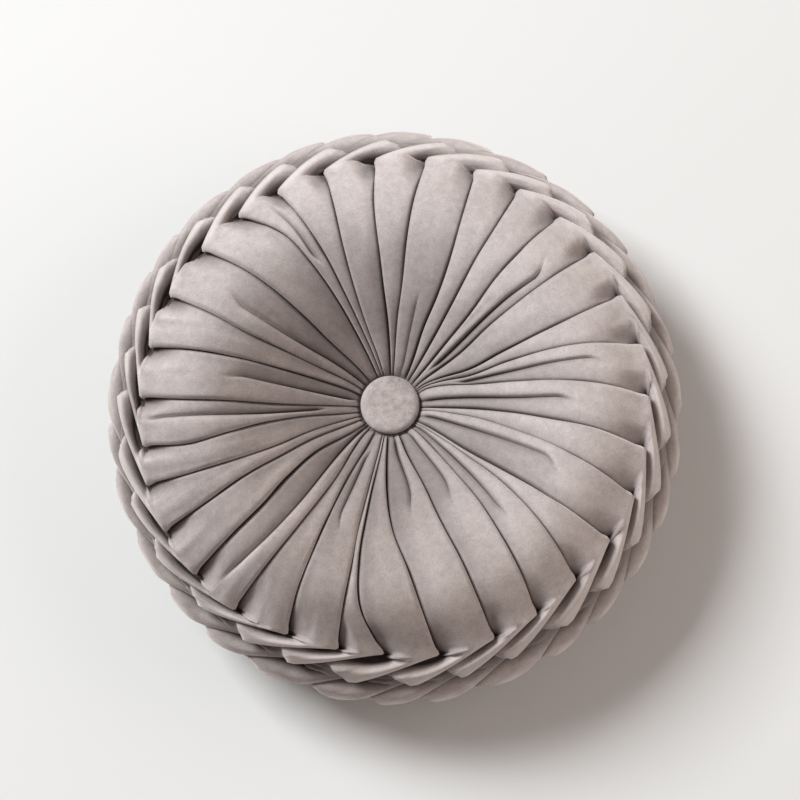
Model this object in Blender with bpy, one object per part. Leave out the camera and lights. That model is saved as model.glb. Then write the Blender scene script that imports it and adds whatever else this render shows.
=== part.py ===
"""Round pleated cushion with a braided edge and a covered button in the middle of each face.

The cushion lies on its back on the plane z = 0, with its axis on Z. Its cover is one strip of cloth.
From the button, 31 pleats run out to a ring of knots near the rim. They bend there, and wind round the
edge as slanting folds, each lying over its neighbour, to the ring of knots on the other face. Angles
are in degrees, clockwise from +Y as seen from above. All lengths are in metres.
"""
import math

import bpy
import numpy as np

# Driving dimensions
REST_DEPTH = 0.0550        # from the widest part down to the flattened underside
BUTTON_RADIUS = 0.0205
BUTTON_THICKNESS = 0.0085
BUTTON_EDGE, BUTTON_EDGE_LIFT = 0.0042, 0.0037   # radius of its full edge, and how high the widest part is
BUTTON_BACK_RADIUS = 0.0145
BUTTON_DOME = 0.0004
GAP = 0.0003               # between a button and the cover

# The crown's section, from the axis out to the widest part
CROWN = [
    # radius, height above the widest part
    (0.0000, 0.0110),
    (0.0200, 0.0110),
    (0.0226, 0.0150),
    (0.0300, 0.0202),
    (0.0430, 0.0268),
    (0.0600, 0.0350),
    (0.0800, 0.0444),
    (0.1000, 0.0523),
    (0.1150, 0.0561),
    (0.1280, 0.0571),
    (0.1400, 0.0553),
    (0.1520, 0.0507),
    (0.1640, 0.0440),
    (0.1760, 0.0360),
    (0.1885, 0.0243),
    (0.1960, 0.0110),
    (0.1980, 0.0000),
]
KNOT_RING_RADIUS = 0.173
OVAL = 1.012               # how much longer the cushion is along Y than along X

# The pleats' creases, read round a point a little off the button
CHART_CENTRE = (-0.0014, -0.0048)
CHART_SINK = 0.0024                 # how far the deep middle lies ahead of where it seems from above
SINK_RADII = (0.020, 0.125)
BUTTON_CENTRE = (-0.0034, 0.0030)   # where the top button sits, a little off the axis
DRIFT_RADII = (0.020, 0.095)        # the middle of the pleats shifts to the button between these
CHART_RADII = (0.028, 0.055, 0.083, 0.110, 0.138)
PLEATS = [
    # angle of the crease at 28, 55, 83, 110 and 138 mm, its angle at the knot, and the knot's radius
    (-2.5, -2.5, -4.0, -4.6, -5.0, -3.8, 0.1735),
    (1.5, 3.3, 4.8, 5.0, 5.8, 8.0, 0.1775),
    (21.7, 21.2, 22.0, 21.5, 20.5, 19.2, 0.1760),
    (27.7, 30.2, 30.1, 29.8, 30.2, 30.0, 0.1760),
    (35.8, 39.2, 39.8, 39.2, 39.8, 41.0, 0.1760),
    (43.5, 50.5, 50.3, 50.7, 51.3, 52.0, 0.1760),
    (48.5, 62.0, 63.3, 63.8, 64.1, 63.5, 0.1750),
    (51.5, 66.0, 68.5, 70.4, 72.5, 75.5, 0.1760),
    (56.0, 72.5, 78.3, 81.3, 83.8, 87.2, 0.1750),
    (85.0, 90.0, 92.9, 95.2, 96.7, 99.0, 0.1735),
    (90.0, 96.7, 101.3, 104.2, 106.8, 110.0, 0.1740),
    (115.0, 119.6, 120.0, 120.4, 120.9, 121.2, 0.1706),
    (118.5, 122.7, 124.6, 127.1, 130.0, 133.2, 0.1672),
    (133.0, 136.8, 137.8, 140.2, 142.5, 145.2, 0.1672),
    (164.0, 159.4, 157.7, 156.4, 156.3, 156.3, 0.1672),
    (188.8, 184.6, 180.5, 175.0, 172.0, 169.6, 0.1672),
    (196.0, 194.6, 193.4, 192.0, 189.0, 182.5, 0.1632),
    (199.5, 197.0, 196.0, 194.6, 194.0, 193.2, 0.1637),
    (217.0, 213.2, 210.6, 209.0, 207.5, 205.4, 0.1658),
    (230.4, 221.0, 218.8, 218.4, 218.5, 218.7, 0.1720),
    (243.3, 241.5, 237.0, 233.0, 231.5, 230.5, 0.1740),
    (254.0, 249.8, 246.5, 244.8, 243.0, 242.3, 0.1760),
    (260.5, 255.3, 251.9, 251.3, 251.7, 253.5, 0.1760),
    (268.0, 265.5, 263.5, 261.2, 259.6, 262.0, 0.1706),
    (278.3, 273.3, 272.0, 272.0, 272.0, 273.2, 0.1725),
    (298.3, 292.0, 289.2, 287.6, 286.2, 284.8, 0.1720),
    (307.0, 300.8, 298.3, 297.0, 297.2, 297.5, 0.1727),
    (325.0, 318.8, 316.6, 315.0, 312.9, 310.4, 0.1720),
    (338.0, 335.5, 333.3, 331.0, 328.3, 322.0, 0.1713),
    (343.0, 339.8, 337.7, 336.5, 334.8, 332.5, 0.1700),
    (346.5, 343.5, 342.8, 343.1, 343.8, 344.2, 0.1720),
]
TUCKS = [
    # pleat it lies in, then radius and angle at its outer end, its middle and its inner end, and its depth
    (1, 0.076, 12.5, 0.050, 12.7, 0.030, 12.9, 0.0012),
    (4, 0.138, 48.6, 0.083, 45.8, 0.045, 44.0, 0.0030),
    (7, 0.145, 76.5, 0.110, 74.6, 0.055, 69.5, 0.0024),
    (8, 0.122, 87.0, 0.083, 85.4, 0.028, 73.3, 0.0028),
    (10, 0.120, 108.5, 0.083, 106.0, 0.030, 99.0, 0.0026),
    (12, 0.107, 134.5, 0.083, 132.0, 0.028, 124.0, 0.0024),
    (13, 0.076, 146.0, 0.055, 143.5, 0.028, 143.3, 0.0024),
    (14, 0.076, 170.5, 0.054, 168.3, 0.028, 174.0, 0.0026),
    (17, 0.093, 206.0, 0.076, 206.0, 0.045, 208.0, 0.0020),
    (19, 0.165, 225.0, 0.110, 223.3, 0.028, 237.0, 0.0026),
    (23, 0.168, 268.0, 0.110, 267.0, 0.055, 269.0, 0.0028),
    (24, 0.113, 281.5, 0.072, 281.8, 0.030, 286.0, 0.0026),
    (26, 0.131, 303.0, 0.083, 304.5, 0.028, 314.0, 0.0026),
    (28, 0.160, 329.3, 0.140, 331.0, 0.115, 332.2, 0.0022),
]

# The braided edge, by its share of the way from one ring of knots to the other
SLANT = 70.0               # how far a fold winds round the cushion on its way, in degrees
SLANT_POWER = 0.76         # under 1, so that the folds lie flattest next to the knots
TOP_POWER = 0.38           # added to it near TOP_ANGLE, where the folds leave the knots more steeply
TOP_ANGLE = -8.0
ROWS = (0.0, 0.23, 0.50, 0.77, 1.0)   # where each row of folds is tied
END_RUN = 0.11             # how far the end of a fold runs back across it
ROW_FALL = 0.58            # how much lower a row starts than it ends
ROW_START, ROW_FULL = 0.05, 0.85   # shares of a row where it comes out, and where it is full
FOLD_HEIGHT = 0.0108       # from the crease beside a fold to its crest
FOLD_RISE = 0.0036         # how far that crest stands above the mean surface

# The hollows beside the knots. Shares are of a fold's width, or of the way from ring to ring
HOLLOW_DEPTH = 0.0112
HOLLOW_BEFORE, HOLLOW_FULL = 0.035, 0.030   # how far back past its knot a hollow starts, and where it is open
HOLLOW_CLOSES = (0.060, 0.150)
HOLLOW_WIDEST, HOLLOW_SPREAD = 0.50, 0.40   # where it starts across a fold, less the spread times its size
HOLLOW_SLOPE, HOLLOW_NARROW = 0.42, 0.78    # the width of its slope, and where it starts next to the knot
HOLLOW_SIZE, HOLLOW_BIAS = 0.74, 0.28       # its mean size, and how much smaller it is on one side of the rim
HOLLOW_ANGLE = 80.0                         # that side

# The shape across a pleat: its turned edge, its crest, its long fall and the tail under its neighbour
ROLL, TAIL = 0.0017, 0.0024                 # widths of the turned edge and of the tail on a face
EDGE_ROLL, EDGE_TAIL = 0.12, 0.20           # the same on the edge, as shares of a fold
CREST_AT = 0.30
ROLL_POWER, FALL_POWER, TAIL_POWER = 2.6, 1.5, 2.4
FACE_FALL, EDGE_FALL, KNOT_FALL = 0.34, 0.40, 0.39   # share of its height lost, and more at the knots
KNOT_REACH = 0.030
LEAST_SWELL, SWELL_BY_WIDTH = 0.0026, 0.16  # a wider pleat stands higher
SWELL_RADII = (0.0200, 0.0250)              # it is flat under the button, and full outside it
SUNK = 0.72                                 # share of its height that lies below the mean surface
EDGE_LIP = 0.0036                           # how far a fold of the edge hangs over its neighbour

# Where a pleat is drawn into its knot: share across it, and distance past the ring
RIDGE_AT, RIDGE_SIZE, RIDGE_RISE = (0.52, 0.003), (0.16, 0.012), 0.0014
DIMPLE_AT, DIMPLE_SIZE, DIMPLE_DEPTHS = (0.84, -0.010), (0.13, 0.009), (0.0008, 0.0042)

# No two pleats are alike
PLUMPNESS_SPREAD, HOLLOW_CHANGE = 0.14, 0.28
SLANT_CHANGE = 4.0                          # degrees
SEED = 31

# Points in the mesh
ACROSS = (0.0, 0.09, 0.28, 0.50, 0.73, 0.93)
CROWN_RADII = (0.0120, 0.0202, 0.0226, 0.0300, 0.0430, 0.0600, 0.0820, 0.1060, 0.1300, 0.1500, 0.1650)
EDGE_SHARES = (0.0, 0.05, 0.12, 0.18, 0.23, 0.28, 0.37, 0.48, 0.54, 0.64, 0.76, 0.83, 1.0)
BACK_RADII = (0.1600, 0.1360, 0.1060, 0.0740, 0.0460, 0.0300, 0.0203, 0.0120)
BUTTON_SIDES = 40
BUTTON_EDGE_STEPS = 6


def smooth(value, low, high):
    """Rise from 0 at low to 1 at high, level at both ends."""
    share = np.clip((value - low) / (high - low), 0.0, 1.0)
    return share * share * (3.0 - 2.0 * share)


def smooth_curve(value, places, heights):
    """A smooth curve through a few points. It stays level beyond the first and the last one."""
    slopes = np.gradient(heights, places)
    value = np.clip(value, places[0], places[-1])
    before = np.clip(np.searchsorted(places, value, side="right") - 1, 0, len(places) - 2)
    span = places[before + 1] - places[before]
    share = (value - places[before]) / span
    fade = share * share * (3.0 - 2.0 * share)
    level = heights[before] * (1.0 - fade) + heights[before + 1] * fade
    lean = slopes[before] * share * (1.0 - share) ** 2 + slopes[before + 1] * share * share * (share - 1.0)
    return level + span * lean


def section_curve(steps=24):
    """The crown's section as a smooth curve: distance along it, radius and height."""
    table = np.array(CROWN)
    before = np.vstack([table[1] * (-1, 1), table[:-1]])
    after = np.vstack([table[1:], table[-2] * (1, -1)])
    slope = (after - before) / 2.0
    points = []
    for start in range(len(table) - 1):
        for share in np.arange(steps) / steps:
            a = (1 + 2 * share) * (1 - share) ** 2
            b = share * (1 - share) ** 2
            c = share * share * (3 - 2 * share)
            d = share * share * (share - 1)
            points.append(a * table[start] + b * slope[start] + c * table[start + 1] + d * slope[start + 1])
    points.append(table[-1])
    points = np.array(points)
    along = np.concatenate([[0.0], np.cumsum(np.linalg.norm(np.diff(points, axis=0), axis=1))])
    return along, points[:, 0], points[:, 1]


ALONG, RADIUS, HEIGHT = section_curve()
RING = float(np.interp(KNOT_RING_RADIUS, RADIUS, ALONG))   # distance along the section to the knots
WIDEST = float(ALONG[-1])
EDGE_LENGTH = 2.0 * (WIDEST - RING)


def on_section(distance):
    """Radius, height and outward normal of the section: past the widest part it is the crown mirrored."""
    back = distance > WIDEST
    folded = np.where(back, 2.0 * WIDEST - distance, distance)
    low, high = np.clip(folded - 0.0015, 0.0, WIDEST), np.clip(folded + 0.0015, 0.0, WIDEST)
    run = np.interp(high, ALONG, RADIUS) - np.interp(low, ALONG, RADIUS)
    fall = np.interp(high, ALONG, HEIGHT) - np.interp(low, ALONG, HEIGHT)
    length = np.hypot(run, fall)
    sign = np.where(back, -1.0, 1.0)
    radius, height = np.interp(folded, ALONG, RADIUS), sign * np.interp(folded, ALONG, HEIGHT)
    return radius, height, -fall / length, sign * run / length


def drift(radius):
    """How far the middle of the cushion is off its axis: fully at the button, and not near the rim."""
    share = 1.0 - smooth(radius, *DRIFT_RADII)
    return BUTTON_CENTRE[0] * share, BUTTON_CENTRE[1] * share


def from_chart(radius, angle):
    """Radius and angle, about the middle of the cushion, of a place read round the chart's centre."""
    turn = np.radians(angle)
    aside, ahead = CHART_CENTRE[0] + radius * np.sin(turn), CHART_CENTRE[1] + radius * np.cos(turn)
    ahead = ahead + CHART_SINK * (1.0 - smooth(radius, *SINK_RADII))
    off_aside, off_ahead = drift(np.hypot(aside, ahead))
    aside, ahead = aside - off_aside, ahead - off_ahead
    along, across = ahead * np.cos(turn) + aside * np.sin(turn), aside * np.cos(turn) - ahead * np.sin(turn)
    return np.hypot(along, across), angle + np.degrees(np.arctan2(across, along))


def crease_lines():
    """The radii and angles that each crease passes through, out to its knot, and the first again."""
    lines = [from_chart(np.array(CHART_RADII + row[6:]), np.array(row[:6])) for row in PLEATS]
    return lines + [(lines[0][0], lines[0][1] + 360.0)]


CREASES = crease_lines()


def crease_angle(pleat, radius):
    return smooth_curve(radius, *CREASES[pleat])


def tuck_in(pleat, radius):
    """Share across the pleat where its tuck lies, how much of it there is at this radius, and its depth."""
    for home, r_out, a_out, r_mid, a_mid, r_in, a_in, depth in TUCKS:
        if home == pleat:
            radii, angles = from_chart(np.array((r_in, r_mid, r_out)), np.array((a_in, a_mid, a_out)))
            left, right = crease_angle(pleat, radius), crease_angle(pleat + 1, radius)
            share = (smooth_curve(radius, radii, angles) - left) / (right - left)
            there = smooth(radius, r_in - 0.010, r_in) * (1.0 - smooth(radius, r_out - 0.012, r_out + 0.006))
            return np.clip(share, 0.22, 0.78), there, depth
    return 0.5 + 0.0 * radius, 0.0 * radius, 0.0


def pleat_shape(across, roll_share, tail_share, fall_share):
    """Height across a pleat, 0 in the creases and 1 on its crest: it rolls up steeply and falls gently."""
    roll = 1.0 - (1.0 - np.clip(across / roll_share, 0.0, 1.0)) ** ROLL_POWER
    fall = 1.0 - fall_share * np.clip((across - CREST_AT) / (1.0 - CREST_AT), 0.0, 1.0) ** FALL_POWER
    tail = 1.0 - np.clip(1.0 - (1.0 - across) / tail_share, 0.0, 1.0) ** TAIL_POWER
    return roll * fall * tail


def face_height(across, radius, width, tuck, to_ring):
    """How far the pleats of a face stand off its mean surface."""
    swell = (LEAST_SWELL + SWELL_BY_WIDTH * width) * smooth(radius, *SWELL_RADII)
    roll_share = np.clip(ROLL / width, 0.04, 0.30)
    tail_share = np.clip(TAIL / width, 0.05, 0.30)
    fall_share = FACE_FALL + KNOT_FALL * smooth(to_ring, -KNOT_REACH, 0.0)
    groove = np.exp(-(np.abs(across - 0.5) / 0.10) ** 1.6)
    return swell * (pleat_shape(across, roll_share, tail_share, fall_share) - SUNK) - tuck * groove


def edge_height(across, share):
    """How far the folds of the edge stand off its mean surface. Each row swells, ends and tucks under."""
    plump = 1.0
    for start, end in zip(ROWS[:-1], ROWS[1:]):
        back = END_RUN * across
        first = start - back if start > 0.0 else 0.0
        last = end - back if end < 1.0 else 1.0
        since = (share - first) / (last - first)
        inside = smooth(since, 0.0, ROW_START) * (1.0 - smooth(since, 1.0, 1.0 + ROW_START))
        low = ROW_FALL if start > 0.0 else 0.0
        plump = plump - low * inside * (1.0 - smooth(since, ROW_START, ROW_FULL))
    fall_share = EDGE_FALL + KNOT_FALL * (1.0 - smooth(share, 0.0, 0.05))
    crest = FOLD_HEIGHT * pleat_shape(across, EDGE_ROLL, EDGE_TAIL, fall_share) * plump
    return crest - (FOLD_HEIGHT - FOLD_RISE)


def hollow_depth(across, share, size):
    """Depth of the hollows beside the knots. size is 1 for a large, open one."""
    opening, narrow = 0.0, 0.0
    for start in ROWS[:-1]:
        begins = smooth(share, start - HOLLOW_BEFORE, start + HOLLOW_FULL)
        opening = opening + begins * (1.0 - smooth(share, start + HOLLOW_CLOSES[0], start + HOLLOW_CLOSES[1]))
        narrow = narrow + (1.0 - smooth(share, start - 0.010, start + HOLLOW_FULL)) * begins
    after = smooth(share, 1.0 - HOLLOW_BEFORE, 1.0) * (1.0 - smooth(share, 1.0, 1.0 + HOLLOW_BEFORE))
    wall = (1.0 - np.clip(across / EDGE_ROLL, 0.0, 1.0)) ** ROLL_POWER
    closing = np.clip(2.0 * narrow, 0.0, 1.0)
    low = HOLLOW_WIDEST - HOLLOW_SPREAD * size
    low = low + (HOLLOW_NARROW - low) * closing
    slope = smooth(across, low, low + HOLLOW_SLOPE - (HOLLOW_SLOPE - 0.16) * closing)
    return HOLLOW_DEPTH * size * np.maximum(wall, slope) * np.maximum(opening, 0.7 * after)


def mound(across, past, place, size):
    """A round hill of height 1, at a share across the pleat and a distance past the ring."""
    return np.exp(-((across - place[0]) / size[0]) ** 2 - ((past - place[1]) / size[1]) ** 2)


def sculpted(across, past, dimple):
    """Rise and fall of the cloth where a pleat is drawn into its knot: a ridge and a dimple."""
    ridge = mound(across, past, RIDGE_AT, RIDGE_SIZE)
    return RIDGE_RISE * ridge - dimple * mound(across, past, DIMPLE_AT, DIMPLE_SIZE)


def varied(seed):
    """Plumpness and dimple of each pleat, and the size of the hollow and the slant at each crease."""
    random = np.random.default_rng(seed)
    plumpness = 1.0 + PLUMPNESS_SPREAD * random.uniform(-1.0, 1.0, len(PLEATS))
    dimples = random.uniform(*DIMPLE_DEPTHS, len(PLEATS))
    sides = np.radians(np.array([row[5] for row in PLEATS]) - HOLLOW_ANGLE)
    hollows = HOLLOW_SIZE - HOLLOW_BIAS * np.cos(sides)
    hollows = hollows * (1.0 + HOLLOW_CHANGE * random.uniform(-1.0, 1.0, len(PLEATS)))
    slants = SLANT + SLANT_CHANGE * random.uniform(-1.0, 1.0, len(PLEATS))
    return plumpness, dimples, hollows, slants


PLUMPNESS, DIMPLES, HOLLOWS, SLANTS = varied(SEED)


def pleat_points(pleat, columns, stations):
    """Points of one pleat from the middle of the top to the middle of the back, one row for each station."""
    across, distance = np.meshgrid(np.array(columns), np.array(stations))
    past = distance - RING
    share = np.clip(past / EDGE_LENGTH, 0.0, 1.0)
    near = np.exp(-(past / 0.030) ** 2) - np.exp(-((past - EDGE_LENGTH) / 0.030) ** 2)
    outside = [CREASES[edge][0][-1] - KNOT_RING_RADIUS for edge in (pleat, pleat + 1)]
    radius, height, out, up = on_section(distance + near * (outside[0] + (outside[1] - outside[0]) * across))

    on_face = past < 0.0
    on_back = past > EDGE_LENGTH
    reach = np.where(on_face | on_back, radius, 1.0)
    left, right = crease_angle(pleat, reach), crease_angle(pleat + 1, reach)
    left_knot, right_knot = crease_angle(pleat, 1.0), crease_angle(pleat + 1, 1.0)
    left = np.where(on_back, 2.0 * left_knot - left, left)
    right = np.where(on_back, 2.0 * right_knot - right, right)
    half = 1.0 - np.abs(2.0 * share - 1.0)
    knot_angle = left_knot + (right_knot - left_knot) * across
    power = SLANT_POWER + TOP_POWER * np.clip(np.cos(np.radians(knot_angle - TOP_ANGLE)), 0.0, 1.0)
    slant = SLANTS[pleat] + (SLANTS[(pleat + 1) % len(PLEATS)] - SLANTS[pleat]) * across
    wound = np.where(share < 0.5, half ** power, 2.0 - half ** power) * slant / 2.0

    tuck_share, there, depth = tuck_in(pleat, radius)
    there = np.where(on_face, there, 0.0)
    middle = 0.5 + (tuck_share - 0.5) * there
    place = np.where(across < 0.5, across * 2.0 * middle, middle + (2.0 * across - 1.0) * (1.0 - middle))
    width = np.maximum(radius * np.radians(right - left), 0.001)
    blend = smooth(past, -0.010, 0.002) * (1.0 - smooth(past - EDGE_LENGTH, -0.002, 0.010))
    hang = EDGE_LIP * blend * smooth(across, 0.0, 0.055) * (1.0 - smooth(across, 0.055, 0.176))
    turn = np.radians(left + (right - left) * (place - hang / width) + wound)

    to_ring = -np.minimum(np.abs(past), np.abs(past - EDGE_LENGTH))
    on_top = face_height(across, radius, width, depth * there, to_ring) * PLUMPNESS[pleat]
    stands = (1.0 - blend) * on_top + blend * edge_height(across, share)
    size = np.where(across < EDGE_ROLL, HOLLOWS[pleat], HOLLOWS[(pleat + 1) % len(PLEATS)])
    stands = stands - hollow_depth(across, past / EDGE_LENGTH, size)
    for from_ring in (past, EDGE_LENGTH - past):
        stands = stands + sculpted(across, from_ring, DIMPLES[pleat])
    ring_hold = np.exp(-(past / 0.016) ** 2) + np.exp(-((past - EDGE_LENGTH) / 0.016) ** 2)
    out = np.where(stands < 0.0, out * (1.0 - ring_hold), out)
    z = np.maximum(height + up * stands, -REST_DEPTH) + REST_DEPTH
    reach = radius + out * stands
    aside, ahead = drift(np.where(on_back, 1.0, radius))
    return np.stack([reach * np.sin(turn) + aside, (reach * np.cos(turn) + ahead) * OVAL, z], axis=-1)


def cover_mesh():
    """The whole cover as rings of points, from the middle of the top to the middle of the underside."""
    stations = [float(np.interp(radius, RADIUS, ALONG)) for radius in CROWN_RADII]
    stations += [RING + share * EDGE_LENGTH for share in EDGE_SHARES]
    stations += [2.0 * WIDEST - float(np.interp(radius, RADIUS, ALONG)) for radius in BACK_RADII]
    pleats = [pleat_points(pleat, ACROSS, stations) for pleat in range(len(PLEATS))]
    points = np.concatenate(pleats, axis=1).reshape(-1, 3)
    points[:, :2] -= (points.max(axis=0) + points.min(axis=0))[:2] / 2.0
    count = len(PLEATS) * len(ACROSS)
    faces = [tuple(range(count))[::-1], tuple(range(len(points) - count, len(points)))]
    for ring in range(len(stations) - 1):
        for step in range(count):
            a, b = ring * count + step, ring * count + (step + 1) % count
            faces.append((a, b, b + count, a + count))
    return points.tolist(), faces


def button_profile():
    """Radius and lift of a button from its flat back, round its full edge, to its middle."""
    profile = [(BUTTON_BACK_RADIUS, 0.0)]
    for step in range(BUTTON_EDGE_STEPS + 1):
        turn = math.radians(-60 + 150 * step / BUTTON_EDGE_STEPS)
        radius = BUTTON_RADIUS - BUTTON_EDGE * (1.0 - math.cos(turn))
        profile.append((radius, BUTTON_EDGE_LIFT + (BUTTON_EDGE_LIFT - 0.0001) * math.sin(turn)))
    profile.append((BUTTON_RADIUS * 0.45, BUTTON_THICKNESS - BUTTON_DOME))
    profile.append((0.0, BUTTON_THICKNESS))
    return profile


def button_mesh(place, side):
    """A flat-domed button. place is the middle of its flat back, and side is 1 up or -1 down."""
    aside, ahead, seat = place
    profile = button_profile()
    points = []
    for radius, lift in profile[:-1]:
        for step in range(BUTTON_SIDES):
            turn = 2.0 * math.pi * step / BUTTON_SIDES
            across, along = radius * math.cos(turn), radius * math.sin(turn)
            points.append((aside + across, ahead + along, seat + side * lift))
    points.append((aside, ahead, seat + side * profile[-1][1]))
    faces = [tuple(range(BUTTON_SIDES))[::-1]]
    last = (len(profile) - 2) * BUTTON_SIDES
    for step in range(BUTTON_SIDES):
        after = (step + 1) % BUTTON_SIDES
        faces.append((last + step, last + after, len(points) - 1))
        for ring in range(0, last, BUTTON_SIDES):
            a, b = ring + step, ring + after
            faces.append((a, b, b + BUTTON_SIDES, a + BUTTON_SIDES))
    return points, [face[::side] for face in faces]


def cloth_material(name, colour, roughness):
    material = bpy.data.materials.new(name)
    material.use_nodes = True
    shader = material.node_tree.nodes["Principled BSDF"]
    shader.inputs["Base Color"].default_value = (*colour, 1.0)
    shader.inputs["Roughness"].default_value = roughness
    shader.inputs["Metallic"].default_value = 0.0
    return material


def add_object(name, shape, material):
    points, faces = shape
    mesh = bpy.data.meshes.new(name)
    mesh.from_pydata(points, [], faces)
    mesh.shade_smooth()
    mesh.set_sharp_from_angle(angle=math.radians(50))
    mesh.materials.append(material)
    bpy.context.scene.collection.objects.link(bpy.data.objects.new(name, mesh))


def main():
    for old in list(bpy.data.objects):
        bpy.data.objects.remove(old)
    velvet = cloth_material("pleated_velvet", (0.40, 0.355, 0.335), 0.85)
    button_velvet = cloth_material("button_velvet", (0.44, 0.395, 0.375), 0.85)
    add_object("cover", cover_mesh(), velvet)
    add_object("button_top", button_mesh((*BUTTON_CENTRE, REST_DEPTH + CROWN[0][1] + GAP), 1), button_velvet)
    add_object("button_back", button_mesh((0.0, 0.0, REST_DEPTH - CROWN[0][1] - GAP), -1), button_velvet)


main()
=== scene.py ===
# %% [markdown]
# # A round pleated cushion in velvet
# The cushion is one strip of velvet. It is gathered into pleats on each face, tied at a ring of knots
# near the rim, and wound round the edge as slanting folds that lie over one another like a braid. A
# covered button holds the middle of each face. Everything is worked out in metres, around an imported
# model that gives the cushion's size. That model is loaded first, and its buttons give the seats of the
# new ones.

# %% Load the frame
import math

import bpy
import numpy as np
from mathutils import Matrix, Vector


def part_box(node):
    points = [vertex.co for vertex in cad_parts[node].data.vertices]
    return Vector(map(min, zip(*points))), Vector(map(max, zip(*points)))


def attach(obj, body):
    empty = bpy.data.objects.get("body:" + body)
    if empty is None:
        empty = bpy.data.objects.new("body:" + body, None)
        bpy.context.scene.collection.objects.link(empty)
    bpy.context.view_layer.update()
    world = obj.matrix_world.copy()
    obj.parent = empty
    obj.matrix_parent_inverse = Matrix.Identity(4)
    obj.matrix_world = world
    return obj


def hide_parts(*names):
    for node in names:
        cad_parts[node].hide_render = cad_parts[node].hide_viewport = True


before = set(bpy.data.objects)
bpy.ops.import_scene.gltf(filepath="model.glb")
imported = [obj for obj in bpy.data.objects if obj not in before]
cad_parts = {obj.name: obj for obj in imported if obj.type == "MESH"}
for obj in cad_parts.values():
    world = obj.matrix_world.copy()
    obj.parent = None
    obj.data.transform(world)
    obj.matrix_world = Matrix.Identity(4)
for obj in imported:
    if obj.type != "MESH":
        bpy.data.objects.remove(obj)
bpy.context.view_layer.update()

# %% [markdown]
# ## The view
# The photograph looks down on the cushion from almost straight above, leaning a little towards the lower
# edge of the picture, so more of the braided edge shows there. A camera can be turned by hand until it
# fits, but then nobody can read why it stands where it does. Here its place follows from an angle and a
# distance. A long lens keeps the circle round.

# %% Camera
VIEW_ELEVATION = math.radians(79.5)
VIEW_DISTANCE = 1.486
LENS_MM, SENSOR_MM = 95.0, 36.0
AIM = (0.0036, 0.0090, 0.0560)

camera_data = bpy.data.cameras.new("view_camera")
camera_data.lens = LENS_MM
camera_data.sensor_width = SENSOR_MM
camera = bpy.data.objects.new("view_camera", camera_data)
camera.location = (AIM[0], AIM[1] - VIEW_DISTANCE * math.cos(VIEW_ELEVATION),
                   AIM[2] + VIEW_DISTANCE * math.sin(VIEW_ELEVATION))
camera.rotation_euler = (math.pi / 2 - VIEW_ELEVATION, 0.0, 0.0)
bpy.context.scene.collection.objects.link(camera)
bpy.context.scene.camera = camera
print("camera", round(math.degrees(VIEW_ELEVATION), 1), "degrees above the floor")

# %% [markdown]
# ## The section of the cushion
# A filled cushion swells between the places where it is tied. Cut through the middle, it shows a smooth
# curve through a few places: the flat seat under the button, the dish, the crown, the shoulder and the
# widest part. Such a form could be blown up with a cloth simulation. A table is used here, because each
# place in it can be compared with the photograph and moved by itself.

# %% Section
REST_DEPTH = 0.0550         # how far the cushion's underside lies below its widest part
KNOT_RING_RADIUS = 0.173
CROWN = [
    # radius, height above the widest part
    (0.0000, 0.0110),
    (0.0200, 0.0110),
    (0.0226, 0.0150),
    (0.0300, 0.0202),
    (0.0430, 0.0268),
    (0.0600, 0.0350),
    (0.0800, 0.0444),
    (0.1000, 0.0523),
    (0.1150, 0.0561),
    (0.1280, 0.0571),
    (0.1400, 0.0553),
    (0.1520, 0.0507),
    (0.1640, 0.0440),
    (0.1760, 0.0360),
    (0.1885, 0.0243),
    (0.1960, 0.0110),
    (0.1980, 0.0000),
]
print("the dish is", round(max(height for radius, height in CROWN) - CROWN[0][1], 4), "deep")

# %% [markdown]
# The places are joined by a smooth curve. Between two of them it is a cubic, whose slope at each place
# comes from the places before and after it. Points on the cushion are then found by their distance along
# this curve, as a maker measures cloth, and not by their radius.

# %% Curve through the section
SECTION_STEPS = 24          # steps of the curve between two places


def section_curve():
    """The section as a smooth curve: distance along it, radius and height."""
    table = np.array(CROWN)
    before = np.vstack([table[1] * (-1, 1), table[:-1]])
    after = np.vstack([table[1:], table[-2] * (1, -1)])
    slope = (after - before) / 2.0
    points = []
    for start in range(len(table) - 1):
        for share in np.arange(SECTION_STEPS) / SECTION_STEPS:
            a = (1 + 2 * share) * (1 - share) ** 2
            b = share * (1 - share) ** 2
            c = share * share * (3 - 2 * share)
            d = share * share * (share - 1)
            points.append(a * table[start] + b * slope[start] + c * table[start + 1] + d * slope[start + 1])
    points.append(table[-1])
    points = np.array(points)
    along = np.concatenate([[0.0], np.cumsum(np.linalg.norm(np.diff(points, axis=0), axis=1))])
    return along, points[:, 0], points[:, 1]


ALONG, RADIUS, HEIGHT = section_curve()
RING = float(np.interp(KNOT_RING_RADIUS, RADIUS, ALONG))
WIDEST = float(ALONG[-1])
EDGE_LENGTH = 2.0 * (WIDEST - RING)
print("from knots to knots round the edge:", round(EDGE_LENGTH, 4))

# %% [markdown]
# Past the widest part the curve is the crown turned over, so one table makes both faces. The pleats stand
# off this curve at right angles, so each point also needs the direction that points straight out of the
# cloth. It is measured over a short piece of the curve, which rounds off any small corner.

# %% Both sides of the section
NORMAL_REACH = 0.0015       # half of the piece over which the direction is measured


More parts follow.
